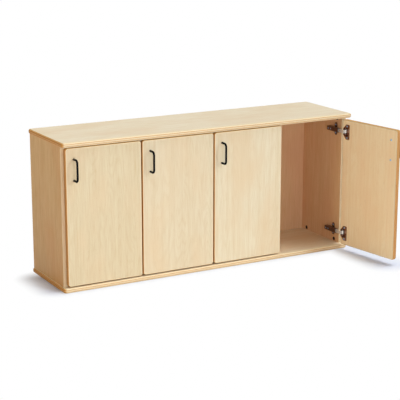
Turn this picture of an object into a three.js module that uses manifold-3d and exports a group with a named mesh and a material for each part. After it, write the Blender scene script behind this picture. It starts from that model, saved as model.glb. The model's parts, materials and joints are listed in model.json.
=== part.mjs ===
// A low storage locker: four compartments side by side, each closed by its own overlay door on
// two concealed hinges. Millimetres, +Z up. The origin is the middle of the bottom slab's
// underside, +X runs along the length and +Y to the back, so the doors face -Y.
import * as THREE from "three";
import { mergeVertices } from "three/addons/utils/BufferGeometryUtils.js";
import Module from "manifold-3d";

// Overall sizes
const unitLength = 1219;
const unitHeight = 546;
const bottomDepth = 308;
const topOverhang = 10;

// Slabs: rounded over on every edge, with rounded corners in plan
const slabThickness = 18;
const slabEdgeRound = 7;
const slabCornerRadius = 12;
const slabRoundSteps = 3;
const slabCornerSteps = 4;

// Upright panels
const panelThickness = 18;
const panelEdgeRound = 1.5;
const panelRoundSteps = 2;
const sideInset = 6;
const sideBackInset = 3;
const compartmentCount = 4;

// Back panel, held in grooves
const backThickness = 6;
const backInset = 12;
const grooveDepth = 6;

// Doors
const doorThickness = 18;
const doorSetback = 3;
const doorBackGap = 2;
const doorSpacing = 4;
const doorEndGap = 4;
const doorCornerRadius = 10;
const doorEdgeRound = 2.5;
const doorRoundSteps = 2;
const doorCornerSteps = 3;
const doorAngles = [0, 0, 0, 98];
const doorFullAngle = 110;

// Wire pulls and the screws that hold them
const pullCentres = 76.2;
const pullStandoff = 31;
const pullWire = 8;
const pullBend = 12;
const pullEdgeDistance = 31;
const pullTopDistance = 40.5;
const pullSteps = 22;
const pullSides = 8;
const pullScrewShank = 4;
const pullScrewHead = 8.4;
const pullScrewHeadHeight = 2.2;
const pullScrewReach = 11;

// Hinge cup, let into the door's inner face
const hingeEndDistance = 47.5;
const cupDiameter = 34.6;
const cupWall = 0.9;
const cupDepth = 11.5;
const cupTab = 3.5;
const cupSides = 16;
const flangeThickness = 1.2;
const flangeHeight = 59;
const flangeNoseHeight = 24;
const flangeEarWidth = 20;
const flangeEarRadius = 3;
const flangeEarSteps = 2;
const cupScrewSpacing = 45;
const cupScrewOffset = 4;

// Hinge link, turning on a pin across the cup
const linkPivotSetback = 10;
const linkPivotDepth = 6.2;
const linkPinDiameter = 3;
const linkEyeWall = 1.2;
const linkThickness = 1.6;
const linkLean = 8;
const linkTurnShare = 0.94;
const linkClearance = 0.8;
const linkEngagement = 5;
const linkSweepStops = 24;

// Hinge arm, a channel over the link and the mounting plate
const armWidth = 16;
const armMetal = 1.2;
const armLength = 71;
const armScrewDiameter = 7;
const armScrewHeight = 1.2;
const armScrewShank = 4;
const armScrewReach = 7;
const armScrewInset = 9;
const armScrewPitch = 16;

// Mounting plate, screwed to the upright panel
const plateSetback = 37;
const plateLength = 50;
const plateWidth = 15;
const plateThickness = 2;
const plateEndSteps = 3;
const plateScrewSpacing = 32;
const blockTailGap = 2;

// Wood screws of the hinge pieces
const hingeScrewShank = 3.8;
const hingeScrewHead = 7;
const hingeScrewHeadHeight = 0.8;
const hingeScrewReach = 11;
const screwSides = 8;
const shankSides = 6;

// Panel connectors
const connectorDiameter = 15;
const connectorDepth = 12;
const connectorEndDistance = 9.5;
const connectorSetback = 34;
const connectorSides = 16;
const connectorSlotWidth = 2;
const connectorSlotLength = 9;
const connectorSlotDepth = 2.4;

// Clearances
const seat = 0.3;
const bottomSpare = 0.6;
const cutOverrun = 5;

// A rounding takes at most this share of the thickness or side that it is on
const roundLimitShare = 0.45;

// Places that follow from the sizes above
const topDepth = bottomDepth + topOverhang;
const backY = bottomDepth / 2;
const bottomFrontY = -bottomDepth / 2;
const topMiddleY = backY - topDepth / 2;
const panelBottomZ = slabThickness;
const panelTopZ = unitHeight - slabThickness;
const doorFaceY = bottomFrontY + doorSetback;
const doorInnerDepth = doorThickness + doorBackGap;
const panelFrontY = doorFaceY + doorInnerDepth;
const panelBackY = backY - sideBackInset;
const backPanelFrontY = panelBackY - backInset - backThickness;
const sideOuterX = unitLength / 2 - sideInset;
const insideLength = 2 * (sideOuterX - panelThickness);
const compartmentWidth =
  (insideLength - (compartmentCount - 1) * panelThickness) / compartmentCount;
const pitch = compartmentWidth + panelThickness;
const doorWidth = pitch - doorSpacing;
const doorOverlay = (panelThickness - doorSpacing) / 2;
const doorBottomZ = panelBottomZ + doorEndGap;
const doorTopZ = panelTopZ - doorEndGap;
const hingeHeights = {
  upper: doorTopZ - hingeEndDistance,
  lower: doorBottomZ + hingeEndDistance,
};
const cupRadius = cupDiameter / 2;
const cupSetback = cupTab + cupRadius;
const flangeTop = doorThickness + seat + flangeThickness;
const cupScrewSetback = cupSetback + cupScrewOffset;
const radians = THREE.MathUtils.degToRad;

// The library that joins and cuts closed meshes
const wasm = await Module();
wasm.setup();

// Turns a closed geometry into a solid that can be joined and cut.
function solidOf(geometry) {
  const bare = geometry.clone();
  bare.deleteAttribute("normal");
  bare.deleteAttribute("uv");
  const merged = mergeVertices(bare);
  return new wasm.Manifold(
    new wasm.Mesh({
      numProp: 3,
      vertProperties: merged.attributes.position.array,
      triVerts: new Uint32Array(merged.index.array),
    }),
  );
}

// Turns a solid back into a geometry.
function geometryOf(solid) {
  const mesh = solid.getMesh();
  const geometry = new THREE.BufferGeometry();
  geometry.setAttribute("position", new THREE.BufferAttribute(mesh.vertProperties, 3));
  geometry.setIndex(new THREE.BufferAttribute(mesh.triVerts, 1));
  return geometry;
}

// Joins the geometries in the first list and cuts away those in the second.
function joinAndCut(joined, cuts = []) {
  let solid = solidOf(joined[0]);
  for (const geometry of joined.slice(1)) solid = solid.add(solidOf(geometry));
  for (const geometry of cuts) solid = solid.subtract(solidOf(geometry));
  return geometryOf(solid);
}

// A box between two corners.
function boxBetween(low, high) {
  const size = high.map((value, axis) => value - low[axis]);
  const middle = high.map((value, axis) => (value + low[axis]) / 2);
  return new THREE.BoxGeometry(...size).translate(...middle);
}

// A round rod between two values along one axis, "x", "y" or "z", through a middle point.
function rodAlong(axis, radius, from, to, middle, sides) {
  const rod = new THREE.CylinderGeometry(radius, radius, to - from, sides);
  rod.translate(0, (from + to) / 2, 0);
  if (axis === "x") rod.rotateZ(-Math.PI / 2);
  if (axis === "z") rod.rotateX(Math.PI / 2);
  return rod.translate(...middle);
}

// A rectangle with rounded corners between two corners in its plane.
function roundedRectangle(left, low, right, high, radius) {
  const limit = roundLimitShare * Math.min(right - left, high - low);
  const r = Math.min(radius, limit);
  const shape = new THREE.Shape();
  shape.absarc(right - r, low + r, r, -Math.PI / 2, 0);
  shape.absarc(right - r, high - r, r, 0, Math.PI / 2);
  shape.absarc(left + r, high - r, r, Math.PI / 2, Math.PI);
  shape.absarc(left + r, low + r, r, Math.PI, (Math.PI * 3) / 2);
  shape.closePath();
  return shape;
}

// Extrudes a shape over a thickness, with its edges rounded over by a radius on both faces.
function roundedBoard(shape, thickness, radius, roundSteps, cornerSteps) {
  const round = Math.min(radius, roundLimitShare * thickness);
  const board = new THREE.ExtrudeGeometry(shape, {
    depth: thickness - 2 * round,
    bevelEnabled: true,
    bevelThickness: round,
    bevelSize: round,
    bevelOffset: -round,
    bevelSegments: roundSteps,
    curveSegments: cornerSteps,
  });
  return board.translate(0, 0, round);
}

// Extrudes a shape squarely over a depth, from zero up.
function plainExtrusion(shape, depth, curveSegments = 1) {
  return new THREE.ExtrudeGeometry(shape, { depth, bevelEnabled: false, curveSegments });
}

// Turns a geometry drawn flat, X right and Y up, so that it stands facing along Y,
// with its thickness running from the front to the back.
function standUp(geometry, thickness) {
  return geometry.rotateX(Math.PI / 2).translate(0, thickness, 0);
}

// The groove that the back panel stands in, as one frame-high cutter for every carcass board.
function grooveCutter() {
  const x = sideOuterX - panelThickness + grooveDepth;
  return boxBetween(
    [-x, backPanelFrontY - seat, panelBottomZ - grooveDepth],
    [x, backPanelFrontY + backThickness + seat, panelTopZ + grooveDepth],
  );
}

// One slab, from its middle along Y, its depth and its underside.
function slab(middleY, depth, bottomZ) {
  const outline = roundedRectangle(
    -unitLength / 2, middleY - depth / 2, unitLength / 2, middleY + depth / 2, slabCornerRadius,
  );
  const board = roundedBoard(
    outline, slabThickness, slabEdgeRound, slabRoundSteps, slabCornerSteps,
  );
  return joinAndCut([board.translate(0, 0, bottomZ)], [grooveCutter()]);
}

// The pilot holes that the hinge screws of one door need in the panel behind its hinge edge.
function plateScrewHoles(innerX) {
  const holes = [];
  for (const z of Object.values(hingeHeights)) {
    for (const side of [-1, 1]) {
      holes.push(rodAlong(
        "x", hingeScrewShank / 2 + seat, -cutOverrun, hingeScrewReach + bottomSpare,
        [innerX, panelFrontY + plateSetback, z + (side * plateScrewSpacing) / 2], shankSides,
      ));
    }
  }
  return holes;
}

// The middles of the connectors at the ends of one upright, seen from its inner face.
function connectorPlaces() {
  return {
    front_upper: [panelFrontY + connectorSetback, panelTopZ - connectorEndDistance],
    front_lower: [panelFrontY + connectorSetback, panelBottomZ + connectorEndDistance],
    rear_upper: [backPanelFrontY - connectorSetback, panelTopZ - connectorEndDistance],
    rear_lower: [backPanelFrontY - connectorSetback, panelBottomZ + connectorEndDistance],
  };
}

// The round pockets that hold the connectors.
function connectorPockets(innerX) {
  return Object.values(connectorPlaces()).map(([y, z]) => rodAlong(
    "x", connectorDiameter / 2 + seat, -cutOverrun, connectorDepth + bottomSpare,
    [innerX, y, z], connectorSides,
  ));
}

// One upright panel between two values of X, back to a value of Y, with the cuts it needs.
function upright(leftX, endY, cuts) {
  const outline = roundedRectangle(
    leftX, panelFrontY, leftX + panelThickness, endY, panelEdgeRound,
  );
  const board = plainExtrusion(outline, panelTopZ - panelBottomZ, panelRoundSteps);
  return joinAndCut([board.translate(0, 0, panelBottomZ)], cuts);
}

// The back panel, a seat short of the bottom of its grooves all round.
function backPanel() {
  const reach = grooveDepth - seat;
  const x = sideOuterX - panelThickness + reach;
  return boxBetween(
    [-x, backPanelFrontY, panelBottomZ - reach],
    [x, backPanelFrontY + backThickness, panelTopZ + reach],
  );
}

// One connector: a round housing flush with the panel, with a cross slot in its face.
function connector() {
  const housing = rodAlong(
    "x", connectorDiameter / 2, 0, connectorDepth, [0, 0, 0], connectorSides,
  );
  const half = connectorSlotLength / 2;
  const narrow = connectorSlotWidth / 2;
  const slots = [
    boxBetween([-cutOverrun, -half, -narrow], [connectorSlotDepth, half, narrow]),
    boxBetween([-cutOverrun, -narrow, -half], [connectorSlotDepth, narrow, half]),
  ];
  return joinAndCut([housing], slots);
}

// From here on, pieces of a door are drawn from the corner line that it swings about: X is zero
// at the door's hinge edge and runs to the right, and Y is zero at its face and runs inwards.
const pullX = pullEdgeDistance - doorWidth;
const pullTopZ = doorTopZ - pullTopDistance;
const pullZs = { upper: pullTopZ, lower: pullTopZ - pullCentres };

// The door board with its cup pockets, pilot holes and the two holes for the pull's screws.
function door() {
  const outline = roundedRectangle(-doorWidth, doorBottomZ, 0, doorTopZ, doorCornerRadius);
  const board = standUp(
    roundedBoard(outline, doorThickness, doorEdgeRound, doorRoundSteps, doorCornerSteps),
    doorThickness,
  );
  const cuts = Object.values(pullZs).map((z) => rodAlong(
    "y", pullScrewShank / 2 + seat, -cutOverrun, doorThickness + cutOverrun,
    [pullX, 0, z], screwSides,
  ));
  for (const z of Object.values(hingeHeights)) {
    const pocketFloor = doorThickness - cupDepth - seat;
    cuts.push(rodAlong(
      "y", cupRadius + seat, pocketFloor, doorThickness + cutOverrun,
      [-cupSetback, 0, z], cupSides,
    ));
    for (const side of [-1, 1]) {
      cuts.push(rodAlong(
        "y", hingeScrewShank / 2 + seat, doorThickness - hingeScrewReach - bottomSpare,
        doorThickness + cutOverrun,
        [-cupScrewSetback, 0, z + (side * cupScrewSpacing) / 2], shankSides,
      ));
    }
  }
  return joinAndCut([board], cuts);
}

// The wire pull: two posts and a grip, bent from one round bar, with a blind hole in each foot.
function pull() {
  const bend = Math.min(pullBend, roundLimitShare * Math.min(pullStandoff, pullCentres));
  const corner = (z) => new THREE.Vector3(pullX, -pullStandoff, z);
  const foot = (z) => new THREE.Vector3(pullX, -seat, z);
  const onPost = (z) => new THREE.Vector3(pullX, -pullStandoff + bend, z);
  const gripTop = new THREE.Vector3(pullX, -pullStandoff, pullZs.upper - bend);
  const gripBottom = new THREE.Vector3(pullX, -pullStandoff, pullZs.lower + bend);
  const route = new THREE.CurvePath();
  route.add(new THREE.LineCurve3(foot(pullZs.upper), onPost(pullZs.upper)));
  route.add(
    new THREE.QuadraticBezierCurve3(onPost(pullZs.upper), corner(pullZs.upper), gripTop),
  );
  route.add(new THREE.LineCurve3(gripTop, gripBottom));
  route.add(
    new THREE.QuadraticBezierCurve3(gripBottom, corner(pullZs.lower), onPost(pullZs.lower)),
  );
  route.add(new THREE.LineCurve3(onPost(pullZs.lower), foot(pullZs.lower)));
  const section = new THREE.Shape();
  for (let side = 0; side < pullSides; side += 1) {
    const turn = ((2 * side + 1) / pullSides) * Math.PI;
    const point = [(Math.cos(turn) * pullWire) / 2, (Math.sin(turn) * pullWire) / 2];
    if (side === 0) section.moveTo(...point);
    else section.lineTo(...point);
  }
  section.closePath();
  const bar = new THREE.ExtrudeGeometry(section, { steps: pullSteps, extrudePath: route });
  const holes = Object.values(pullZs).map((z) => rodAlong(
    "y", pullScrewShank / 2 + seat, -pullScrewReach - bottomSpare, cutOverrun,
    [pullX, 0, z], screwSides,
  ));
  return joinAndCut([bar], holes);
}

// One pull screw, from the inner face through the door into the pull's foot.
function pullScrew() {
  const shank = pullScrewShank / 2;
  const head = pullScrewHead / 2;
  const profile = [
    [0, -pullScrewReach],
    [shank, -pullScrewReach],
    [shank, doorThickness + seat],
    [head, doorThickness + seat],
    [head, doorThickness + seat + pullScrewHeadHeight / 2],
    [shank, doorThickness + seat + pullScrewHeadHeight],
    [0, doorThickness + seat + pullScrewHeadHeight],
  ].map((point) => new THREE.Vector2(...point));
  return new THREE.LatheGeometry(profile, screwSides).translate(pullX, 0, 0);
}

// Hinge pieces are drawn at the height of their hinge's middle, in the closed door's frame.
const pinPlace = new THREE.Vector2(-linkPivotSetback, doorThickness - linkPivotDepth);

// The cup with its flange, the pin across it and its two wood screws.
function hingeCup() {
  const floor = -cupDepth;
  const profile = [
    [0, floor],
    [cupRadius - cupWall, floor],
    [cupRadius, floor + cupWall],
    [cupRadius, seat + flangeThickness],
    [cupRadius - cupWall, seat + flangeThickness],
    [cupRadius - cupWall, floor + cupWall],
    [0, floor + cupWall],
  ].map((point) => new THREE.Vector2(...point));
  const shell = new THREE.LatheGeometry(profile, cupSides);
  shell.translate(-cupSetback, doorThickness, 0);

  const outline = new THREE.Shape();
  const near = -cupTab;
  const far = -cupSetback - cupRadius;
  const earNear = far + flangeEarWidth;
  const nose = flangeNoseHeight / 2;
  const ear = flangeHeight / 2;
  const r = Math.min(flangeEarRadius, roundLimitShare * flangeEarWidth);
  outline.moveTo(near, -nose);
  outline.lineTo(near, nose);
  outline.lineTo(earNear, ear - r);
  outline.absarc(earNear - r, ear - r, r, 0, Math.PI / 2);
  outline.absarc(far + r, ear - r, r, Math.PI / 2, Math.PI);
  outline.absarc(far + r, r - ear, r, Math.PI, (Math.PI * 3) / 2);
  outline.absarc(earNear - r, r - ear, r, (Math.PI * 3) / 2, Math.PI * 2);
  outline.closePath();
  const flange = standUp(
    plainExtrusion(outline, flangeThickness, flangeEarSteps), flangeThickness,
  );
  flange.translate(0, doorThickness + seat, 0);
  const mouth = rodAlong(
    "y", cupRadius - cupWall, doorThickness - cutOverrun, doorThickness + cutOverrun,
    [-cupSetback, 0, 0], cupSides,
  );

  const wallMiddle = rodAlong(
    "y", cupRadius - cupWall / 2, floor, flangeThickness,
    [-cupSetback, doorThickness, 0], cupSides,
  );
  const longPin = rodAlong(
    "z", linkPinDiameter / 2, -cupRadius, cupRadius, [pinPlace.x, pinPlace.y, 0], screwSides,
  );
  const pin = geometryOf(solidOf(longPin).intersect(solidOf(wallMiddle)));

  const screws = [];
  for (const side of [-1, 1]) {
    const middle = [-cupScrewSetback, doorThickness, (side * cupScrewSpacing) / 2];
    const under = seat + flangeThickness / 2;
    const top = seat + flangeThickness + hingeScrewHeadHeight;
    screws.push(rodAlong(
      "y", hingeScrewShank / 2, -hingeScrewReach, under, middle, shankSides,
    ));
    screws.push(rodAlong("y", hingeScrewHead / 2, under, top, middle, screwSides));
  }
  const plate = joinAndCut([flange], [mouth]);
  return joinAndCut([plate, shell, pin, ...screws]);
}

// The link in plan, from its pin: a short crank to the left and then a leg towards the back.
// It is as wide as the arm's channel, less a seat at either side.
const eyeRadius = linkPinDiameter / 2 + seat + linkEyeWall;
const linkWidth = armWidth - 2 * (armMetal + seat);
const closedLegTurn = Math.PI / 2 - radians(linkLean);
const fullTurn = radians(doorFullAngle);

// The leg's direction when the door stands at an angle, and the crank's, a quarter turn on.
function linkTurn(doorTurn) {
  return closedLegTurn + (1 - linkTurnShare) * doorTurn;
}

// The crank is as long as it takes for the leg to pass the door's edge when it is fully open.
function crankReach() {
  const turn = linkTurn(fullTurn) - fullTurn + Math.PI / 2;
  const across = new THREE.Vector2(Math.cos(turn), Math.sin(turn));
  const corners = [
    new THREE.Vector2(0, doorThickness),
    new THREE.Vector2(-cupTab, flangeTop),
  ];
  const reaches = corners.map((corner) => corner.sub(pinPlace).dot(across));
  return Math.max(...reaches) + linkThickness / 2 + linkClearance;
}
const crankLength = crankReach();
const noseY = flangeTop + seat;

// The places of the link's bend and free end for a door's turn and a leg's length.
function linkPlaces(doorTurn, legLength) {
  const pin = pinPlace.clone().rotateAround(new THREE.Vector2(), doorTurn);
  const turn = linkTurn(doorTurn);
  const across = new THREE.Vector2(-Math.sin(turn), Math.cos(turn));
  const along = new THREE.Vector2(Math.cos(turn), Math.sin(turn));
  const bend = pin.clone().addScaledVector(across, crankLength);
  return { bend, end: bend.clone().addScaledVector(along, legLength), along };
}

// The leg is as long as it takes to stay inside the arm when the door is fully open.
function legReach() {
  const { bend, along } = linkPlaces(fullTurn, 0);
  return (noseY + linkEngagement - bend.y) / along.y;
}
const legLength = legReach();

// How far the link comes from the panel and towards it, behind the arm's nose, as the door swings.
function linkSweep() {
  const sweep = { out: 0, near: unitLength, back: 0 };
  for (let stop = 0; stop <= linkSweepStops; stop += 1) {
    const doorTurn = (stop / linkSweepStops) * fullTurn;
    const { bend, end, along } = linkPlaces(doorTurn, legLength);
    const entry = bend.x + (along.x * Math.max(noseY - bend.y, 0)) / along.y;
    sweep.out = Math.max(sweep.out, -entry - doorOverlay, -end.x - doorOverlay);
    sweep.near = Math.min(sweep.near, -entry - doorOverlay, -end.x - doorOverlay);
    sweep.back = Math.max(sweep.back, end.y - doorInnerDepth);
  }
  return sweep;
}
const sweep = linkSweep();
const armInner = sweep.out + linkThickness / 2 + linkClearance;
const armOuter = armInner + armMetal;
const armFoot = Math.max(
  sweep.near - linkThickness / 2 - linkClearance,
  plateThickness + seat,
);
const armTailY = doorInnerDepth + armLength;
const blockFrontY = doorInnerDepth + sweep.back + linkThickness + linkClearance;
const blockTailY = armTailY - blockTailGap;

// The link, drawn from its pin in the closed door's frame.
function hingeLink() {
  const half = linkWidth / 2;
  const thin = linkThickness / 2;
  const eye = rodAlong("z", eyeRadius, -half, half, [0, 0, 0], screwSides);
  const crank = boxBetween([-thin, 0, -half], [thin, crankLength + thin, half]);
  const leg = boxBetween(
    [-thin, crankLength - thin, -half], [legLength, crankLength + thin, half],
  );
  const bore = rodAlong(
    "z", linkPinDiameter / 2 + seat, -linkWidth, linkWidth, [0, 0, 0], screwSides,
  );
  return joinAndCut([eye, crank, leg], [bore]).rotateZ(closedLegTurn);
}

// The arm: a channel open towards the panel. The rear screw in its web holds it to the block of
// the mounting plate, and the front one sets the door sideways.
function hingeArm() {
  const half = armWidth / 2;
  const outline = new THREE.Shape();
  outline.moveTo(-doorOverlay - armFoot, -half);
  outline.lineTo(-doorOverlay - armFoot, armMetal - half);
  outline.lineTo(-doorOverlay - armInner, armMetal - half);
  outline.lineTo(-doorOverlay - armInner, half - armMetal);
  outline.lineTo(-doorOverlay - armFoot, half - armMetal);
  outline.lineTo(-doorOverlay - armFoot, half);
  outline.lineTo(-doorOverlay - armOuter, half);
  outline.lineTo(-doorOverlay - armOuter, -half);
  outline.closePath();
  const length = armTailY - noseY;
  const channel = standUp(plainExtrusion(outline, length), length).translate(0, noseY, 0);
  const screwY = armTailY - armScrewInset;
  const heads = [screwY, screwY - armScrewPitch].map((y) => rodAlong(
    "x", armScrewDiameter / 2, -armScrewHeight, armMetal / 2,
    [-doorOverlay - armOuter, y, 0], screwSides,
  ));
  const shank = rodAlong(
    "x", armScrewShank / 2, 0, armScrewReach, [-doorOverlay - armOuter, screwY, 0], shankSides,
  );
  return joinAndCut([channel, ...heads, shank]);
}

// The mounting plate: two wings, the block that the arm sits over, and two wood screws.
function hingePlate() {
  const low = -doorOverlay - seat;
  const wing = roundedRectangle(
    -plateLength / 2, -plateWidth / 2, plateLength / 2, plateWidth / 2, plateWidth,
  );
  const wings = plainExtrusion(wing, plateThickness, plateEndSteps).rotateY(-Math.PI / 2);
  wings.translate(low, doorInnerDepth + plateSetback, 0);
  const half = armWidth / 2 - armMetal - seat;
  const block = boxBetween(
    [-doorOverlay - armInner + seat, blockFrontY, -half], [low, blockTailY, half],
  );
  const screws = [];
  for (const side of [-1, 1]) {
    const middle = [low, doorInnerDepth + plateSetback, (side * plateScrewSpacing) / 2];
    const top = plateThickness + hingeScrewHeadHeight;
    const under = plateThickness / 2;
    screws.push(rodAlong("x", hingeScrewHead / 2, -top, -under, middle, screwSides));
    screws.push(rodAlong("x", hingeScrewShank / 2, -under, hingeScrewReach, middle, shankSides));
  }
  const hole = rodAlong(
    "x", armScrewShank / 2 + seat, -cutOverrun, armScrewReach + bottomSpare,
    [-doorOverlay - armOuter, armTailY - armScrewInset, 0], shankSides,
  );
  return joinAndCut([wings, block, ...screws], [hole]);
}

// Materials
function finish(name, color, roughness, metalness) {
  const material = new THREE.MeshStandardMaterial({ color, roughness, metalness });
  material.name = name;
  return material;
}
const maple = finish("maple_veneer", 0xe6d5b0, 0.5, 0);
const doorMaple = finish("door_maple", 0xe8d8b4, 0.48, 0);
const backBoard = finish("back_board", 0xd9c49a, 0.6, 0);
const blackWire = finish("black_wire", 0x17171a, 0.4, 0.2);
const nickel = finish("nickel_plate", 0xb9b4aa, 0.3, 1);
const zinc = finish("zinc_screw", 0xc4c6c8, 0.35, 1);
const darkHousing = finish("dark_housing", 0x3a2b22, 0.5, 0.1);

const locker = new THREE.Group();

// Adds one named piece to a group.
function addPiece(group, name, geometry, material, place = [0, 0, 0]) {
  const mesh = new THREE.Mesh(geometry, material.clone());
  mesh.name = name;
  mesh.position.set(...place);
  group.add(mesh);
  return mesh;
}

// Adds an empty group at a place in plan, turned about the vertical.
function addFrame(parent, x, y, turn) {
  const group = new THREE.Group();
  group.position.set(x, y, 0);
  group.rotation.z = turn;
  parent.add(group);
  return group;
}

// Carcass
addPiece(locker, "top_slab", slab(topMiddleY, topDepth, panelTopZ), maple);
addPiece(locker, "bottom_slab", slab(0, bottomDepth, 0), maple);
addPiece(locker, "back_panel", backPanel(), backBoard);
addPiece(locker, "side_left", upright(-sideOuterX, panelBackY, [grooveCutter()]), maple);
for (let place = 1; place < compartmentCount; place += 1) {
  const leftX = -sideOuterX + place * pitch;
  const board = upright(leftX, backPanelFrontY, plateScrewHoles(leftX));
  addPiece(locker, `partition_${place}`, board, maple);
}
const rightInnerX = sideOuterX - panelThickness;
const sideRight = upright(rightInnerX, panelBackY, [
  grooveCutter(), ...plateScrewHoles(rightInnerX), ...connectorPockets(rightInnerX),
]);
addPiece(locker, "side_right", sideRight, maple);
for (const [place, [y, z]] of Object.entries(connectorPlaces())) {
  addPiece(locker, `connector_${place}`, connector(), darkHousing, [rightInnerX, y, z]);
}

// Doors, each with its pull, its screws and its two hinges
const shapes = {
  door: door(),
  pull: pull(),
  screw: pullScrew(),
  cup: hingeCup(),
  link: hingeLink(),
  arm: hingeArm(),
  plate: hingePlate(),
};
for (let number = 1; number <= compartmentCount; number += 1) {
  const hingeX = -sideOuterX + number * pitch + doorOverlay;
  const turn = radians(doorAngles[number - 1] ?? 0);
  const fixed = addFrame(locker, hingeX, doorFaceY, 0);
  const swinging = addFrame(locker, hingeX, doorFaceY, turn);
  const turning = addFrame(swinging, pinPlace.x, pinPlace.y, -linkTurnShare * turn);
  addPiece(swinging, `door_${number}`, shapes.door, doorMaple);
  addPiece(swinging, `pull_${number}`, shapes.pull, blackWire);
  for (const [place, z] of Object.entries(pullZs)) {
    addPiece(swinging, `pull_screw_${number}_${place}`, shapes.screw, zinc, [0, 0, z]);
  }
  for (const [place, z] of Object.entries(hingeHeights)) {
    addPiece(swinging, `hinge_cup_${number}_${place}`, shapes.cup, nickel, [0, 0, z]);
    addPiece(turning, `hinge_link_${number}_${place}`, shapes.link, nickel, [0, 0, z]);
    addPiece(fixed, `hinge_arm_${number}_${place}`, shapes.arm, nickel, [0, 0, z]);
    addPiece(fixed, `hinge_plate_${number}_${place}`, shapes.plate, nickel, [0, 0, z]);
  }
}

export default locker;
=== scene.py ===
# %% [markdown]
# # A low storage locker with four doors
# The real unit is a row of four compartments in maple-faced plywood. Each compartment has an
# overlay door with a black wire pull and two concealed cup hinges, and the last door stands open.
# This lesson dresses the engineering model: every board and fitting is built again, finer, in the
# place that the model gives it, and then gets its wood, metal or plastic.

# %% Load the frame
import json
import math

import bpy
from mathutils import Matrix, Vector


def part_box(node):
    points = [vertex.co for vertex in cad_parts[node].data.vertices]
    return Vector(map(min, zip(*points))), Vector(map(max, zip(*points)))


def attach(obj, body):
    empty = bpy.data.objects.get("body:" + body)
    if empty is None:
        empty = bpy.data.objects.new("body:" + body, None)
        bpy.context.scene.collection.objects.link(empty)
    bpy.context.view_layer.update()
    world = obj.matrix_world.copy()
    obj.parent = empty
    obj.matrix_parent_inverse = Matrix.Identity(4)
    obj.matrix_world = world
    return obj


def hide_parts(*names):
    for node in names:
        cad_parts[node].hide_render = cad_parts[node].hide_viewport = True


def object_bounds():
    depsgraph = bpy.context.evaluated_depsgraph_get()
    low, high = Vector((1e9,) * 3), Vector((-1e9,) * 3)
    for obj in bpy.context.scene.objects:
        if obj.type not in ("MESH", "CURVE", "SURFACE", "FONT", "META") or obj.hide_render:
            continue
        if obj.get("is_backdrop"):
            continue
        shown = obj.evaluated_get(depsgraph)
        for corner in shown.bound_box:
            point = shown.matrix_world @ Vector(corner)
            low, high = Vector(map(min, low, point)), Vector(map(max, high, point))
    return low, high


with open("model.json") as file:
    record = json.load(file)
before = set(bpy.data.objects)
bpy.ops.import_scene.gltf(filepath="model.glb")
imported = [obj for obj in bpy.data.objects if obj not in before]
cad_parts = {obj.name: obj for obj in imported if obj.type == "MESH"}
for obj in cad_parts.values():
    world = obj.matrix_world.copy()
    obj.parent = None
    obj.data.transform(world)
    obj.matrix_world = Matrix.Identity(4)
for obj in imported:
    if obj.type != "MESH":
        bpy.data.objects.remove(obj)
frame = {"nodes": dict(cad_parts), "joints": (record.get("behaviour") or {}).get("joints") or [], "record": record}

MM = 0.001
cad_low, cad_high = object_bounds()
print("frame box in mm:", [round(v / MM, 1) for v in (cad_high - cad_low)])

# %% [markdown]
# ## Where the doors hang
# A door swings about the corner line of its face on the hinge side. Each joint of the frame says
# where that line is. The lowest value of its range is the angle back to the closed door, so it
# also tells how far the door stands open at rest. Everything on a door is drawn on the closed
# door, with X at zero on the hinge edge and Y at zero on the face, and is then turned with it.
# The heights of the hinges and of the pulls' screws are read from the first door's nodes.

# %% Hinge lines
DOORS = range(1, 5)
ENDS = {"upper": 1, "lower": -1}


def size_of(node):
    """The size of a node's box, in metres."""
    low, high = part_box(node)
    return high - low


def middle_of(node):
    """The middle of a node's box, in metres."""
    low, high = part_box(node)
    return (high + low) / 2


HINGES = {end: round(middle_of(f"hinge_cup_1_{end}").z / MM, 2) for end in ENDS}
PULLS = {end: round(middle_of(f"pull_screw_1_{end}").z / MM, 2) for end in ENDS}
joints = {joint["name"]: joint for joint in frame["joints"]}


def hinge_line(number):
    """The closed door's own frame: its origin on the floor under the hinge line."""
    x, y, _ = joints[f"door_{number}_swing"]["pos_m"]
    return Matrix.Translation((x, y, 0))


def opening(number):
    """How far the door stands open at rest, in radians."""
    return math.radians(-joints[f"door_{number}_swing"]["range_deg"][0])


def on_door(number):
    """The frame of a door as it stands."""
    return hinge_line(number) @ Matrix.Rotation(opening(number), 4, "Z")


for number in DOORS:
    print("door", number, "open by", round(math.degrees(opening(number)), 1), "degrees")
print("hinges at", HINGES, "and pulls at", PULLS, "mm")

# %% [markdown]
# ## Building closed skins
# Boards, screws, cups and bars are all skins over a stack of rings, with a flat face over the
# first and the last one. Blender's own cube and cylinder would give sharp, bare shapes, and a
# sculpted mesh would not keep the measured sizes, so the rings are worked out and skinned in code.

# %% Rings and skins
def arc(middle, radius, start, sweep, steps):
    """Points of an arc in a plane. Its start and its sweep are in quarter turns."""
    turns = [(start + sweep * step / steps) * math.pi / 2 for step in range(steps + 1)]
    return [(middle[0] + radius * math.cos(t), middle[1] + radius * math.sin(t)) for t in turns]


def rounded_ring(wide, deep, radius, steps, height=0.0):
    """A ring round a rectangle about the origin, with an arc at each corner."""
    ring = []
    for quarter, (right, far) in enumerate(((1, 1), (-1, 1), (-1, -1), (1, -1))):
        middle = (right * (wide / 2 - radius), far * (deep / 2 - radius))
        ring += [Vector((*point, height)) for point in arc(middle, radius, quarter, 1, steps)]
    return ring


def round_ring(radius, height, sides):
    """A ring round the Z axis."""
    turns = [2 * math.pi * side / sides for side in range(sides)]
    return [Vector((radius * math.cos(t), radius * math.sin(t), height)) for t in turns]


def new_object(name, data):
    """A new object in the scene."""
    made = bpy.data.objects.new(name, data)
    bpy.context.scene.collection.objects.link(made)
    return made


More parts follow.
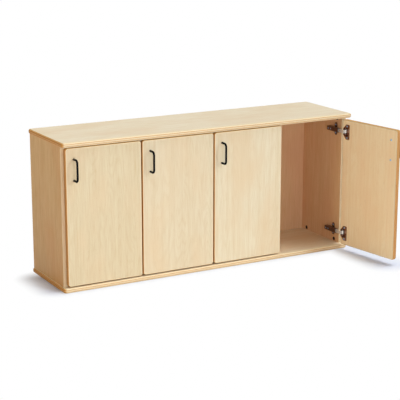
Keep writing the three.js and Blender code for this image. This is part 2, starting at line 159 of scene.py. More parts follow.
def skin(name, rings):
    """A closed mesh over rings that hold equally many points, with a face over each end."""
    count = len(rings[0])
    last = (len(rings) - 1) * count
    faces = [list(reversed(range(count)))]
    for low in range(0, last, count):
        for point in range(count):
            after = (point + 1) % count
            faces.append([low + point, low + after, low + count + after, low + count + point])
    faces.append([last + point for point in range(count)])
    mesh = bpy.data.meshes.new(name)
    mesh.from_pydata([tuple(point) for ring in rings for point in ring], [], faces)
    return new_object(name, mesh)


def turned(name, profile, sides):
    """A piece turned on the Z axis, from its profile of radius and height in mm."""
    return skin(name, [round_ring(r * MM, h * MM, sides) for r, h in profile])


def block(low, high):
    """A square-edged cutter or lug between two corners, in mm."""
    size, middle = Vector(high) - Vector(low), (Vector(high) + Vector(low)) / 2
    x, y, top = size / 2
    corners = ((x, y), (-x, y), (-x, -y), (x, -y))
    rings = [[Vector((*corner, level)) for corner in corners] for level in (-top, top)]
    return skin("block", [[(point + middle) * MM for point in ring] for ring in rings])


def move(spot):
    """The matrix that moves the origin to a spot in mm."""
    return Matrix.Translation(Vector(spot) * MM)


def rod(radius, start, along, length, sides=32):
    """A straight round rod or drill from a point, in mm."""
    piece = turned("rod", [(radius, 0), (radius, length)], sides)
    piece.data.transform(move(start) @ Vector(along).to_track_quat("Z", "Y").to_matrix().to_4x4())
    return piece


print("points in a rounded ring:", len(rounded_ring(1.0, 1.0, 0.1, steps=8)))

# %% [markdown]
# ## Cutting, fusing and shading
# A joiner drills and grooves the boards, and a press joins a hinge cup to its flange. Booleans do
# both here, and their result is kept as a plain mesh. Flat faces then get flat normals and rounded
# edges get smooth ones, by marking sharp edges by angle and weighting the normals by face area.

# %% Cut, fuse and shade
def settle(piece):
    """Keeps what the modifiers of a piece make as its own mesh."""
    bpy.context.view_layer.update()
    graph = bpy.context.evaluated_depsgraph_get()
    mesh = bpy.data.meshes.new_from_object(piece.evaluated_get(graph))
    old = piece.data
    mesh.name = old.name
    piece.modifiers.clear()
    piece.data = mesh
    bpy.data.meshes.remove(old)
    return piece


def carve(piece, tools, operation="DIFFERENCE"):
    """Cuts the tools out of a piece, or fuses them to it, and deletes the tools."""
    for tool in tools:
        step = piece.modifiers.new("carve", "BOOLEAN")
        step.operation = operation
        step.solver = "EXACT"
        step.object = tool
    settle(piece)
    for tool in tools:
        bpy.data.objects.remove(tool)
    return piece


def ease_edges(piece, radius, angle):
    """Breaks the edges of a metal piece that are sharper than an angle, and shades it."""
    step = piece.modifiers.new("ease", "BEVEL")
    step.width = radius * MM
    step.segments = 2
    step.limit_method = "ANGLE"
    step.angle_limit = math.radians(angle)
    return shade(settle(piece))


def shade(piece, angle=35):
    """Smooth shading that keeps flat faces flat."""
    piece.data.shade_smooth()
    piece.data.set_sharp_from_angle(angle=math.radians(angle))
    weights = piece.modifiers.new("flat faces", "WEIGHTED_NORMAL")
    weights.keep_sharp = True
    return piece


def dressed(piece, material):
    """A piece in one material."""
    piece.data.materials.clear()
    piece.data.materials.append(material)
    return piece


def fit(piece, name, place, body, node=None):
    """Names a piece, puts it in place on its body and lets it stand for its CAD node."""
    piece.name = name
    piece.matrix_world = place
    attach(piece, body)
    if node:
        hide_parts(node)
    return piece


def fit_copy(pattern, name, place, body, node=None):
    """As fit, for another piece of a pattern's mesh."""
    twin = new_object(name, pattern.data)
    for step in pattern.modifiers:
        twin.modifiers.new(step.name, step.type).keep_sharp = step.keep_sharp
    return fit(twin, name, place, body, node)


def lay_board(piece, place, body, node):
    """Shades and fits a board. Its mesh moves into place, and its points keep their places on it."""
    shade(piece)
    own = piece.data.attributes.new("on_board", "FLOAT_VECTOR", "POINT")
    for point, vertex in zip(own.data, piece.data.vertices):
        point.vector = vertex.co
    piece.data.transform(place)
    return fit(piece, node + "_board", Matrix.Identity(4), body, node)


print("helpers ready")

# %% [markdown]
# ## Colours and nodes
# Colours are written as the sRGB values that a paint or photo program shows, and one function
# turns them to the linear values that Blender's shaders work with. One more function adds a node
# to a material. Sockets go by name, or by number where names repeat: in Map Range 1 and 2 end the
# range that comes in and 3 and 4 the one that goes out, and in Mix 0 is the share and 6 and 7 are
# the colours. Each pattern's size is a real one in millimetres.

# %% Colour and node helpers
def linear(code, brighter=1.0):
    """Linear colour of an sRGB hex code, made brighter or darker by a factor."""
    parts = [int(code[place:place + 2], 16) / 255 for place in (1, 3, 5)]
    light = [p / 12.92 if p <= 0.04045 else ((p + 0.055) / 1.055) ** 2.4 for p in parts]
    return [brighter * value for value in light] + [1.0]


def feed(tree, node, feeds):
    """Links each named socket of a node to what feeds it, or sets it to its value."""
    for socket, value in feeds.items():
        if isinstance(value, bpy.types.NodeSocket):
            tree.links.new(value, node.inputs[socket])
        else:
            node.inputs[socket].default_value = linear(value) if isinstance(value, str) else value


def add(tree, kind, feeds=None, out=0, **settings):
    """Adds a node with its settings, feeds its sockets and hands back one of its outputs."""
    node = tree.nodes.new("ShaderNode" + kind)
    for name, value in settings.items():
        setattr(node, name, value)
    feed(tree, node, feeds or {})
    return node.outputs[out]


def new_material(name, values):
    """A material with only the standard shader, its sockets set to their values."""
    material = bpy.data.materials.new(name)
    material.use_nodes = True
    shader = material.node_tree.nodes["Principled BSDF"]
    feed(material.node_tree, shader, values)
    return material, material.node_tree, shader


MOSTLY = {1: 0.3, 2: 0.7}  # a soft noise stays mostly between these values


def noises(tree, place, sizes):
    """A soft noise for each name, stretched along X to its length and width in mm."""
    made = {}
    for name, (along, across, detail) in sizes.items():
        shrink = (1 / (along * MM), 1 / (across * MM), 1 / (across * MM))
        stretched = add(tree, "VectorMath", {0: place, 1: shrink}, operation="MULTIPLY")
        made[name] = add(tree, "TexNoise", {"Vector": stretched, "Scale": 1.0, "Detail": detail})
    return made


print("maple cream in linear light:", [round(v, 3) for v in linear("#ecddbc")])

# %% [markdown]
# ## Maple veneer under clear satin lacquer
# The broad faces are sliced maple: cream, with a faint nested figure, fine fibres along the
# grain, short brown flecks and slow drifts towards pink. The eye gets a calm surface that shines
# softly. Every board is drawn along its own grain, so one recipe serves all, and a shift for each
# board keeps two from looking alike. The fibres are about 0.3 mm wide on the real wood and are
# drawn a few millimetres wide, because finer ones would not show.

# %% Maple veneer
GRAIN = {  # name: length mm, width mm, detail
    "figure": (560, 60, 1.0),
    "drift": (260, 110, 2.0),
    "fibre": (60, 2.4, 3.0),
    "streak": (380, 11, 2.0),
    "fleck": (8, 1.4, 0.0),
}
STAINS = {  # name: from and to in the pattern's value, and how much stain it lays on
    "wave": (0.0, 1.0, 0.13),
    "fibre": (0.35, 0.7, 0.34),
    "streak": (0.35, 0.7, 0.26),
    "drift": (0.42, 0.68, 0.6),
    "fleck": (0.7, 0.82, 0.18),
}
RINGS = 130.0  # growth rings over the whole range of the figure
FLECK_BROWN = "#b98d5a"
SATIN = {3: 0.4, 4: 0.52}  # the lacquer's roughness, between and on the fibres
ALONG_THE_LOG = Vector((0.731, 0.417, 0.193))  # metres from one board's veneer to the next
PORE_DEPTH = 0.05


def maple(label, shift, pale="#ede0c2", brown="#d8be8e", warm="#e6cba2"):
    """Maple veneer with its grain along the board's own X."""
    lacquer = {"Roughness": 0.46, "IOR": 1.5, "Specular IOR Level": 0.3}
    material, tree, shader = new_material(label, lacquer)
    where = add(tree, "Attribute", out="Vector", attribute_name="on_board")
    moved = {0: where, 1: shift * ALONG_THE_LOG}
    grain = noises(tree, add(tree, "VectorMath", moved, operation="ADD"), GRAIN)
    rings = add(tree, "Math", {0: grain["figure"], 1: RINGS}, operation="MULTIPLY")
    grain["wave"] = add(tree, "Math", {0: rings}, operation="SINE")
    share = {
        name: add(tree, "MapRange", {"Value": grain[name], 1: low, 2: high, 3: 0.0, 4: depth})
        for name, (low, high, depth) in STAINS.items()
    }
    brownness = 0.0
    for name in ("wave", "fibre", "streak"):
        brownness = add(tree, "Math", {0: brownness, 1: share[name]}, operation="ADD")
    wood = pale
    stains = ((brownness, brown), (share["drift"], warm), (share["fleck"], FLECK_BROWN))
    for cover, stain in stains:
        wood = add(tree, "Mix", {0: cover, 6: wood, 7: stain}, out=2, data_type="RGBA")
    shine = add(tree, "MapRange", {"Value": grain["fibre"], **MOSTLY, **SATIN})
    pores = {"Height": grain["fibre"], "Strength": 0.2, "Distance": PORE_DEPTH * MM}
    looks = {"Base Color": wood, "Roughness": shine, "Normal": add(tree, "Bump", pores)}
    feed(tree, shader, looks)
    return material


shifts = iter(range(1, 40))


def maple_for(board, **colours):
    """The veneer of one board, with a shift of its own."""
    return maple(f"maple_veneer_{board}", next(shifts), **colours)


print("one recipe, from", GRAIN["fleck"][1], "to", GRAIN["figure"][0], "mm")

# %% [markdown]
# ## The routed plywood edge
# The slabs and doors are veneer-core plywood, rounded over with a router and lacquered clear. The
# cut goes through the plies, so the edge shows tan and cream layers with brown glue joints under
# the thin pale veneer. The plies follow the board's thickness, so they are drawn from the height
# above its underside. Most plies run along the board: its long edges show them from the side and
# stay pale, and its short ends show their open pores, which drink the lacquer and turn golden
# brown; the ends are painted darker still, as painted shade. The doors' plies lie the other way
# round, so their long edges are orange brown too, and all their edges are painted darker, as
# painted shade in the gaps between the doors and under the top slab.

# %% Plywood edge
BOARD = 18  # mm thick
PLY = {"veneer": 0.7, "core": 3.32, "wobble": 0.2, "joint_share": 0.07}
# the look of the ends is end grain, painted darker as painted shade
END_GRAIN_AND_SHADE = {1: 9, 2: 3}  # mm from the board's end over which the look of its end comes in
EDGE_GRAIN = {"wobble": (60, 25, 2.0), "fibre": (14, 1.1, 3.0)}
VENEER_CREAM = "#f0dfb8"
BLUR = 0.1  # mm over which the veneer gives way to the core
SAW_DEPTH = 0.08


def plywood_edge(name, length, along, ends):
    """The edge of a board of a length in metres. Along and ends are the colours of the light
    plies, the dark plies and the glue on its long edges and on its short ends."""
    lacquer = {"Roughness": 0.52, "IOR": 1.5, "Specular IOR Level": 0.2}
    material, tree, shader = new_material(name, lacquer)
    where = add(tree, "Attribute", out="Vector", attribute_name="on_board")
    grain = noises(tree, where, EDGE_GRAIN)
    height = add(tree, "SeparateXYZ", {0: where}, out="Z")
    bend = {"Value": grain["wobble"], **MOSTLY}
    bend[3] = (-PLY["wobble"] - PLY["veneer"]) * MM
    bend[4] = (PLY["wobble"] - PLY["veneer"]) * MM
    level = add(tree, "Math", {0: height, 1: add(tree, "MapRange", bend)}, operation="ADD")
    pair = add(tree, "Math", {0: level, 1: 2 * PLY["core"] * MM}, operation="DIVIDE")
    part = add(tree, "Math", {0: pair}, operation="FRACT")
    swing = add(tree, "Math", {0: part, 1: 0.5}, operation="SUBTRACT")
    from_joint = add(tree, "Math", {0: swing}, operation="ABSOLUTE")
    glued = {"Value": from_joint, 1: 0.0, 2: PLY["joint_share"], 3: 0.7, 4: 0.0}
    joint = add(tree, "MapRange", glued)
    dark = add(tree, "MapRange", {"Value": part, 1: 0.46, 2: 0.54, 3: 0.0, 4: 0.8})
    rough = add(tree, "MapRange", {"Value": grain["fibre"], **MOSTLY, 3: -0.15, 4: 0.2})
    dark = add(tree, "Math", {0: dark, 1: rough}, operation="ADD", use_clamp=True)
    cuts = []
    for light_ply, dark_ply, glue in (along, ends):
        plies = add(tree, "Mix", {0: dark, 6: light_ply, 7: dark_ply}, out=2, data_type="RGBA")
        cuts.append(add(tree, "Mix", {0: joint, 6: plies, 7: glue}, out=2, data_type="RGBA"))
    along_board = add(tree, "SeparateXYZ", {0: where}, out="X")
    run = add(tree, "Math", {0: along_board}, operation="ABSOLUTE")
    # near each end the ends' colours come in: end grain, painted darker as painted shade
    end_grain_and_shade_share = {"Value": run} | {end: length / 2 - mm * MM for end, mm in END_GRAIN_AND_SHADE.items()}
    halves = {0: add(tree, "MapRange", end_grain_and_shade_share), 6: cuts[0], 7: cuts[1]}
    wood = add(tree, "Mix", halves, out=2, data_type="RGBA")
    centre = add(tree, "Math", {0: height, 1: BOARD / 2 * MM}, operation="SUBTRACT")
    away = add(tree, "Math", {0: centre}, operation="ABSOLUTE")
    core = BOARD / 2 - PLY["veneer"]
    outer = {"Value": away, 1: (core - BLUR) * MM, 2: (core + BLUR) * MM}
    veneer = add(tree, "MapRange", outer)
    edge = add(tree, "Mix", {0: veneer, 6: wood, 7: VENEER_CREAM}, out=2, data_type="RGBA")
    saw_marks = {"Height": grain["fibre"], "Strength": 0.3, "Distance": SAW_DEPTH * MM}
    feed(tree, shader, {"Base Color": edge, "Normal": add(tree, "Bump", saw_marks)})
    return material


# the slabs' and the back panel's edges: pale long edges, golden ends painted darker as painted shade
slab_edge_with_painted_shade = plywood_edge(
    "plywood_edge_of_slabs_with_painted_shade", size_of("top_slab").x,
    along=("#f0deb6", "#d6a873", "#c08f58"), ends=("#dca860", "#b9792e", "#8a5528"),
)
# the doors' edges, painted darker all round as painted shade in the gaps
door_edge_with_painted_shade = plywood_edge(
    "plywood_edge_of_doors_with_painted_shade", size_of("door_1").z,
    along=("#d9a264", "#b4763c", "#7c4a22"), ends=("#d8a862", "#b58244", "#80582a"),
)
print("plies in a board:", round((BOARD - 2 * PLY["veneer"]) / PLY["core"]))

# %% [markdown]
# ## Metals, powder coat and plastic
# The hinges are pressed steel with a nickel plating: a slightly clouded mirror with fine rolling
# marks. Its colour holds painted light: the cup's plating is painted warm brown, a painted
# reflection of the wood around it; the arm's and the plate's are painted dull and brownish, as
# painted shade of the compartment; and the link's is painted almost white, as a painted highlight.
# The screws are zinc plated, bluer. The pulls are steel wire under a satin black powder coat,
# which has the tiny ripples of a baked powder. The panel connectors are moulded in dark brown
# plastic. A metal keeps the standard IOR, and only its colour and roughness are set.

# %% Metals
ROLLING = {"marks": (9, 0.35, 2.0), "relief": (0.15, 0.02)}


def coated(name, colour, values, cloud, marks, tone, spread, relief):
    """A plating, coat or moulding. Its clouds change its brightness by a tone, and its roughness
    by a spread. Its marks have a relief: the strength, and the depth in mm."""
    material, tree, shader = new_material(name, values)
    grain = noises(tree, add(tree, "TexCoord", out="Object"), {"cloud": cloud, "marks": marks})
    shine = {"Value": grain["cloud"], **MOSTLY}
    shine |= {end: values["Roughness"] + change for end, change in zip((3, 4), spread)}
    tint = {0: grain["cloud"], 6: colour, 7: linear(colour, tone)}
    bump = {"Height": grain["marks"], "Strength": relief[0], "Distance": relief[1] * MM}
    feed(tree, shader, {
        "Base Color": add(tree, "Mix", tint, out=2, data_type="RGBA"),
        "Roughness": add(tree, "MapRange", shine),
        "Normal": add(tree, "Bump", bump),
    })
    return material


def plated(name, colour, rough, cloud_mm):
    """A plated metal, with clouds in its polish and the marks of its rolling."""
    values, cloud = {"Metallic": 1.0, "Roughness": rough}, (cloud_mm, cloud_mm, 3.0)
    return coated(name, colour, values, cloud, tone=0.78, spread=(-0.06, 0.1), **ROLLING)


# the plating's colour is painted light: a painted warm reflection on the cups and springs, painted shade on the
# arms and plates, a painted highlight on the links
nickel = plated("plated_nickel_with_painted_reflection", "#a98672", 0.26, 6)
shade_painted_nickel = plated("plated_nickel_with_painted_shade", "#7f6658", 0.32, 6)
highlight_painted_nickel = plated("plated_nickel_with_painted_highlight", "#fbf8ee", 0.6, 6)
zinc = plated("zinc_plated_steel", "#a9c8e4", 0.36, 3)
print("metals:", nickel.name, "and", zinc.name)

# %% Powder coat and plastic
def rippled(name, colour, rough, gloss, ripple_mm, depth_mm):
    """A coat or moulding with small ripples, whose crests are brighter and duller."""
    values = {"Roughness": rough, "IOR": 1.5, "Specular IOR Level": gloss}
    wave, relief = (ripple_mm, ripple_mm, 2.0), (0.4, depth_mm)
    return coated(name, colour, values, wave, wave, tone=1.5, spread=(-0.06, 0.08), relief=relief)


black_coat = rippled("black_powder_coat", "#060607", 0.48, 0.08, 0.9, 0.05)
dark_plastic = rippled("dark_moulded_plastic", "#2c1f18", 0.42, 0.2, 1.4, 0.04)
print("materials so far:", len(bpy.data.materials))

# %% [markdown]
# ## Boards
# A board is a stack of rounded rings: inset at the underside, full size past the round-over, and
# inset again at the top. It is drawn with its grain along X and its thickness along Z, and a
# matrix turns it into place, so that grain and plies go with it. The broad faces get the veneer
# and all others the edge.

# %% Board helpers
def turn_to(along, across, origin):
    """The place of a board whose grain and width run in two given directions."""
    a, b = Vector(along), Vector(across)
    columns = (a, b, a.cross(b), Vector(origin))
    return Matrix([[column[row] for column in columns] for row in range(3)] + [(0, 0, 0, 1)])


def rounded_board(long, wide, thick, corner, round_over, steps=8):
    """A board with rounded corners in plan and rounded edges, from sizes in metres."""
    rings = []
    for side in (0, 1):
        for step in range(steps + 1):
            turn = (step if side == 0 else steps - step) / steps * math.pi / 2
            inset = round_over * (1 - math.sin(turn))
            rise = round_over * (1 - math.cos(turn))
            height = rise if side == 0 else thick - rise
            sides = (long - 2 * inset, wide - 2 * inset)
            rings.append(rounded_ring(*sides, corner - inset, steps, height))
    return skin("board", rings)


def upright_board(long, wide, thick, round_over, steps=4):
    """A board with square ends and eased long edges, from sizes in metres."""
    section = rounded_ring(thick, wide, round_over, steps)
    stand = Matrix(((0, 0, 1, 0), (0, 1, 0, 0), (-1, 0, 0, thick / 2), (0, 0, 0, 1)))
    rings = [[stand @ Vector((p.x, p.y, x)) for p in section] for x in (-long / 2, long / 2)]
    return skin("board", rings)


LEVEL = 0.999  # how upright a broad face's normal is
TOUCH = 0.01 * MM


def face_and_edge(piece, under, edge, over=None):
    """Veneer under and over the board, and the edge's material everywhere else."""
    piece.data.materials.clear()
    for material in (edge, under, over or under):
        piece.data.materials.append(material)
    low, high = piece.bound_box[0][2], piece.bound_box[6][2]
    for face in piece.data.polygons:
        flat = abs(face.normal.z) > LEVEL
        if flat and abs(face.center.z - low) < TOUCH:
            face.material_index = 1
        elif flat and abs(face.center.z - high) < TOUCH:
            face.material_index = 2
    return piece


def in_board(place, corners):
    """Two corners of a box in the unit's frame as corners in a board's own frame, in mm."""
    points = [place.inverted() @ Vector(corner) / MM for corner in corners]
    return [[pick(p[axis] for p in points) for axis in range(3)] for pick in (min, max)]


print("board helpers ready")

# %% [markdown]
# ## Slabs, sides, partitions and back
# The top and bottom slabs overhang the row and are rounded over by 7 mm. The sides and the two
# slabs hold the thin back panel in a groove, so the groove is cut first and the panel, 0.3 mm
# smaller all round, goes into it. The partitions end in front of it. Sizes and places are read
# from the frame.

# %% Slabs
SEAT = 0.3  # mm left between two pieces that fit together
SLAB_EDGE = (12 * MM, 7 * MM)  # radius of the corners in plan, and of the round-over
back_low, back_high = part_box("back_panel")
seat = Vector((SEAT, SEAT, SEAT)) * MM
groove = (back_low - seat, back_high + seat)


def slab(node):
    """A rounded slab in place of its CAD node."""
    middle, floor = middle_of(node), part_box(node)[0].z
    place = turn_to((1, 0, 0), (0, 1, 0), (middle.x, middle.y, floor))
    piece = rounded_board(*size_of(node), *SLAB_EDGE)
    carve(piece, [block(*in_board(place, groove))])
    face_and_edge(piece, maple_for(node, pale="#f4e7cb", brown="#e0c799"), slab_edge_with_painted_shade)
    return lay_board(piece, place, "carcass", node)


for node in ("top_slab", "bottom_slab"):
    print(slab(node).name, [round(v / MM) for v in size_of(node)])

# %% Uprights
UPRIGHT_EDGE = 1.5
PAST = 5  # mm that a cutter reaches past the face that it enters
PILOT = {"radius": 2.2, "reach": 11.6}  # the pilot hole of a hinge's wood screw
PLATE_SCREWS = {"setback": 37, "spacing": 32}  # the setback is from the upright's front edge
CONNECTOR = {"radius": 7.5, "depth": 12.0, "spare": 0.6}
DRILLED = ("partition_1", "partition_2", "partition_3", "side_right")
# painted shade: the left side's veneer is painted darker and more orange than the doors', for the shade it stands
# in
LEFT_SIDE_PAINTED_SHADE = {"pale": "#dfba7f", "brown": "#c08c46", "warm": "#d49a58"}
# painted shade and painted light: the compartments' walls and the back are painted darker and redder, for the
# shade inside the row and a painted red bounce light
INTERIOR_PAINTED_SHADE = {"pale": "#e2bd90", "brown": "#c99a68", "warm": "#d9a67c"}
connector_places = {
    node[len("connector_"):]: middle_of(node)
    for node in frame["nodes"] if node.startswith("connector_")
}


def upright(node):
    """A side or partition. Drilled ones take hinge plates and connectors in their left face."""
    low, size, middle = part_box(node)[0], size_of(node), middle_of(node)
    place = turn_to((0, 0, 1), (0, -1, 0), (low.x, middle.y, middle.z))
    piece = upright_board(size.z, size.y, size.x, UPRIGHT_EDGE * MM)
    tools = []
    if node.startswith("side"):
        tools.append(block(*in_board(place, groove)))
    if node in DRILLED:
        screw_y = low.y / MM + PLATE_SCREWS["setback"]
        holes = [
            (screw_y, z + side * PLATE_SCREWS["spacing"] / 2, *PILOT.values())
            for z in sorted(HINGES.values()) for side in (1, -1)
        ]
        pocket = (CONNECTOR["radius"] + SEAT, CONNECTOR["depth"] + CONNECTOR["spare"])
        holes += [(spot.y / MM, spot.z / MM, *pocket) for spot in connector_places.values()]
        for y, z, radius, depth in holes:
            start = place.inverted() @ Vector((low.x, y * MM, z * MM)) / MM
            start.z = -PAST
            tools.append(rod(radius, start, (0, 0, 1), depth + PAST))
    carve(piece, tools)
    # the left side's veneer carries painted shade; the other uprights' veneer carries painted shade and painted
    # red bounce light
    inside = maple_for(node, **(LEFT_SIDE_PAINTED_SHADE if node == "side_left" else INTERIOR_PAINTED_SHADE))
    outside = maple_for(node + "_outside") if node == "side_right" else inside
    face_and_edge(piece, inside, maple_band, outside)
    return lay_board(piece, place, "carcass", node)


maple_band = maple("maple_edge_band", shift=40, pale="#ead6ad", brown="#cba672")
print("plain:", upright("side_left").name)
print("drilled:", [upright(node).name for node in DRILLED])

# %% Back panel
BACK_EDGE = (0.8 * MM, 0.4 * MM, 2)  # the last is the number of its steps
size, middle = size_of("back_panel"), middle_of("back_panel")
place = turn_to((0, 0, 1), (1, 0, 0), (middle.x, back_low.y, middle.z))
back = rounded_board(size.z, size.x, size.y, *BACK_EDGE)
# the back panel's veneer carries painted shade and painted red bounce light
face_and_edge(back, maple_for("back_panel", **INTERIOR_PAINTED_SHADE), slab_edge_with_painted_shade)
lay_board(back, place, "carcass", "back_panel")
print("back panel", [round(v / MM, 1) for v in size])

# %% [markdown]
# ## Doors
# Each door is a rounded board with its grain upright and its edges rounded over by 4 mm. From
# inside it is drilled for two hinge cups, their wood screws and the two through holes of the
# pull. The four doors share one shape, and each gets veneer of its own.

# %% Doors
DOOR = size_of("door_1")
DOOR_EDGE = (10 * MM, 4 * MM)
SPARE = 0.06  # mm by which a door is narrower than its node, to stay inside it
door_line = hinge_line(1).translation
pull_x = (middle_of("pull_1") - door_line).x / MM
PULL_HOLE = 2.3
CUP = {"setback": 20.8, "radius": 17.3, "depth": 11.5, "wall": 0.9}
CUP_SCREWS = {"setback": 24.8, "spacing": 45}
board_on_door = turn_to((0, 0, 1), (1, 0, 0), (-DOOR.x / 2, 0, middle_of("door_1").z))


def door_board():
    """The drilled door, in its own frame."""
    piece = rounded_board(DOOR.z, DOOR.x - SPARE * MM, DOOR.y, *DOOR_EDGE)
    drills = [(pull_x, z, PULL_HOLE, -PAST) for z in PULLS.values()]
    for z in HINGES.values():
        drills.append((-CUP["setback"], z, CUP["radius"] + SEAT, BOARD - CUP["depth"] - SEAT))
        for side in (1, -1):
            spot = z + side * CUP_SCREWS["spacing"] / 2
            drills.append((-CUP_SCREWS["setback"], spot, PILOT["radius"], BOARD - PILOT["reach"]))
    tools = []
    for x, z, radius, floor in drills:
        start = board_on_door.inverted() @ (Vector((x, floor, z)) * MM)
        tools.append(rod(radius, start / MM, (0, 0, 1), BOARD + PAST - floor, sides=48))
    return carve(piece, tools)


# painted shade: doors 1 and 2 are painted a little darker than 3 and 4, darker towards the left
DOOR_PAINTED_SHADE = {
    1: {"pale": "#e4d4b0", "brown": "#d0b281"},
    2: {"pale": "#e9daba", "brown": "#d5b888"},
}
# painted light: the doors' inside faces are a warmer backing veneer, painted paler to stand for light on the open
# door's inside
INSIDE_PAINTED_LIGHT = {"pale": "#ffecc6", "brown": "#efcf98", "warm": "#f7d6a8"}
for number in DOORS:
    node = f"door_{number}"
    outside = maple_for(node, **DOOR_PAINTED_SHADE.get(number, {}))
    inside = maple_for(node + "_inside", **INSIDE_PAINTED_LIGHT)
    piece = face_and_edge(door_board(), outside, door_edge_with_painted_shade, inside)
    place = on_door(number) @ board_on_door
    lay_board(piece, place, f"door_leaf_{number}", node)
print("doors", [round(v / MM, 1) for v in DOOR])

# %% [markdown]
# ## Wire pulls
# A pull is one 8 mm steel bar, bent twice to a quarter circle. Its ring of points is carried
# along the bar's middle line, and the feet end 0.3 mm from the door, faced square with a small
# chamfer.

# %% Pulls
PULL = {"radius": 3.88, "spare": 0.1, "bend": 12, "chamfer": 0.5, "sides": 28, "steps": 12}
pull_front = (door_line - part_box("pull_1")[0]).y / MM
PULL["standoff"] = pull_front - PULL["radius"] - PULL["spare"]
THREAD_REACH = 11.6  # how deep the threaded hole is, from the door's face


def bar_ring(middle, bar, first, second):
    """A ring about a point of a bar's middle line. The bar is its radius in mm and its sides."""
    radius, sides = bar
    turns = [2 * math.pi * side / sides for side in range(sides)]
    return [(middle + radius * (math.cos(t) * first + math.sin(t) * second)) * MM for t in turns]


def pull_rings():
    """Rings along the bar on the closed door, from the upper foot to the lower one."""
    high, low, bend, steps = PULLS["upper"], PULLS["lower"], PULL["bend"], PULL["steps"]
    chamfered = -SEAT - PULL["chamfer"]
    line = [(-SEAT, high, 0), (chamfered, high, 0)]
    for quarter, z in ((0, high - bend), (1, low + bend)):
        curve = arc((bend - PULL["standoff"], z), bend, quarter + 1, 1, steps)
        for step, point in enumerate(curve):
            line.append((*point, (quarter + step / steps) * math.pi / 2))
    line += [(chamfered, low, math.pi), (-SEAT, low, math.pi)]
    rings = []
    for place, (y, z, turn) in enumerate(line):
        trim = PULL["chamfer"] if place in (0, len(line) - 1) else 0
        bar = (PULL["radius"] - trim, PULL["sides"])
        outward = Vector((0, -math.sin(turn), math.cos(turn)))
        rings.append(bar_ring(Vector((pull_x, y, z)), bar, Vector((1, 0, 0)), outward))
    return rings


def wire_pull():
    """The bent bar with a threaded hole in each foot."""
    thread = {"along": (0, 1, 0), "length": THREAD_REACH + PAST, "sides": 16}
    holes = [rod(PULL_HOLE, (pull_x, -THREAD_REACH, z), **thread) for z in PULLS.values()]
    return shade(carve(skin("pull", pull_rings()), holes))


for number in DOORS:
    piece = dressed(wire_pull(), black_coat)
    piece.data.transform(on_door(number))
    fit(piece, f"wire_pull_{number}", Matrix.Identity(4), f"door_leaf_{number}", f"pull_{number}")
print("pull posts", round(PULLS["upper"] - PULLS["lower"], 1), "mm apart")

# %% [markdown]
# ## Screws
# All the screws have a cross recess. A head is turned from a short profile, and the recess is cut
# with two crossed blades. The pull's screws have a low truss head, and the hinge screws a
# pan head on a thinner shank.

# %% Screws
SCREWS = {  # name: radius of the shank, reach, radius of the head, its height and its crown, in mm
    "pull_screw": (2.0, 29, 4.2, 2.2, 1.5),
    "hinge_screw": (1.9, 11.5, 3.5, 1.5, 0.9),
    "arm_screw": (2.0, 6.5, 3.5, 1.2, 0.5),
}
TIP = {"share": 0.35, "length": 1.4}
HEAD = {"neck": 0.94, "rim": 0.25, "dome": 0.96, "fullness": 0.7, "steps": 6, "sides": 28}
RECESS = {"blade": 0.17, "arm": 0.6, "depth": 0.75}  # shares of the head's radius and height


def cross(arm, blade, floor, top):
    """Two crossed blades that cut a driver's cross, in mm."""
    halves = ((arm, blade / 2), (blade / 2, arm))
    return [block((-x, -y, floor), (x, y, top + PAST)) for x, y in halves]


def cross_screw(name, shank, reach, head, height, crown):
    """A screw along Z with its head above zero, in mm. Crown is how far the head domes."""
    profile = [(shank * TIP["share"], -reach), (shank, -reach + TIP["length"]), (shank, 0)]
    profile += [(head * HEAD["neck"], 0), (head, height * HEAD["rim"])]
    for step in range(HEAD["steps"] + 1):
        turn = step / HEAD["steps"] * math.pi / 2 * HEAD["dome"]
        rise = height - crown + crown * math.sin(turn)
        profile.append((head * math.cos(turn) ** HEAD["fullness"], rise))
    floor = height * (1 - RECESS["depth"])
    blades = cross(head * RECESS["arm"], head * RECESS["blade"], floor, height)
    return shade(carve(turned(name, profile, HEAD["sides"]), blades))


screws = {name: dressed(cross_screw(name, *sizes), zinc) for name, sizes in SCREWS.items()}
inward = Matrix.Rotation(-math.pi / 2, 4, "X")
for number in DOORS:
    for end, z in PULLS.items():
        place = on_door(number) @ move((pull_x, BOARD + SEAT, z)) @ inward
        name, node = f"truss_screw_{number}_{end}", f"pull_screw_{number}_{end}"
        fit_copy(screws["pull_screw"], name, place, f"door_leaf_{number}", node)
print("screw faces:", {name: len(screw.data.polygons) for name, screw in screws.items()})

# %% [markdown]
# ## Hinge cups
# The cup is a drawn steel bowl, let into the door. Its flange has two ears, each with a wood
# screw, and a shorter nose towards the door's edge. A pin crosses the cup near its mouth, with a
# closing spring wound on both ends of it. The bowl is turned, the flange is a thick outline
# with the mouth cut out, and the two are fused.

# %% Cup and flange
FLANGE = {"metal": 1.2, "height": 59, "nose": 24, "ear": 20, "round": 3, "near": 3.5}
BOWL = (  # radius and height in mm, from under the floor, over the rim and in to the middle
    (14.9, -11.5), (16.4, -10.9), (17.3, -9.1), (17.3, 1.45), (17.1, 1.85), (16.6, 1.85),
    (16.4, 1.45), (16.4, -8.9), (15.6, -10.1), (14.2, -10.6), (5.5, -10.6), (5.0, -9.9), (1.0, -9.9),
)
PIN_PLACE = (-10.0, 11.8)
PIN = {"radius": 1.5, "short": 0.3}  # how far it ends inside the bowl's outside
flange_floor = BOARD + SEAT
flange_top = flange_floor + FLANGE["metal"]


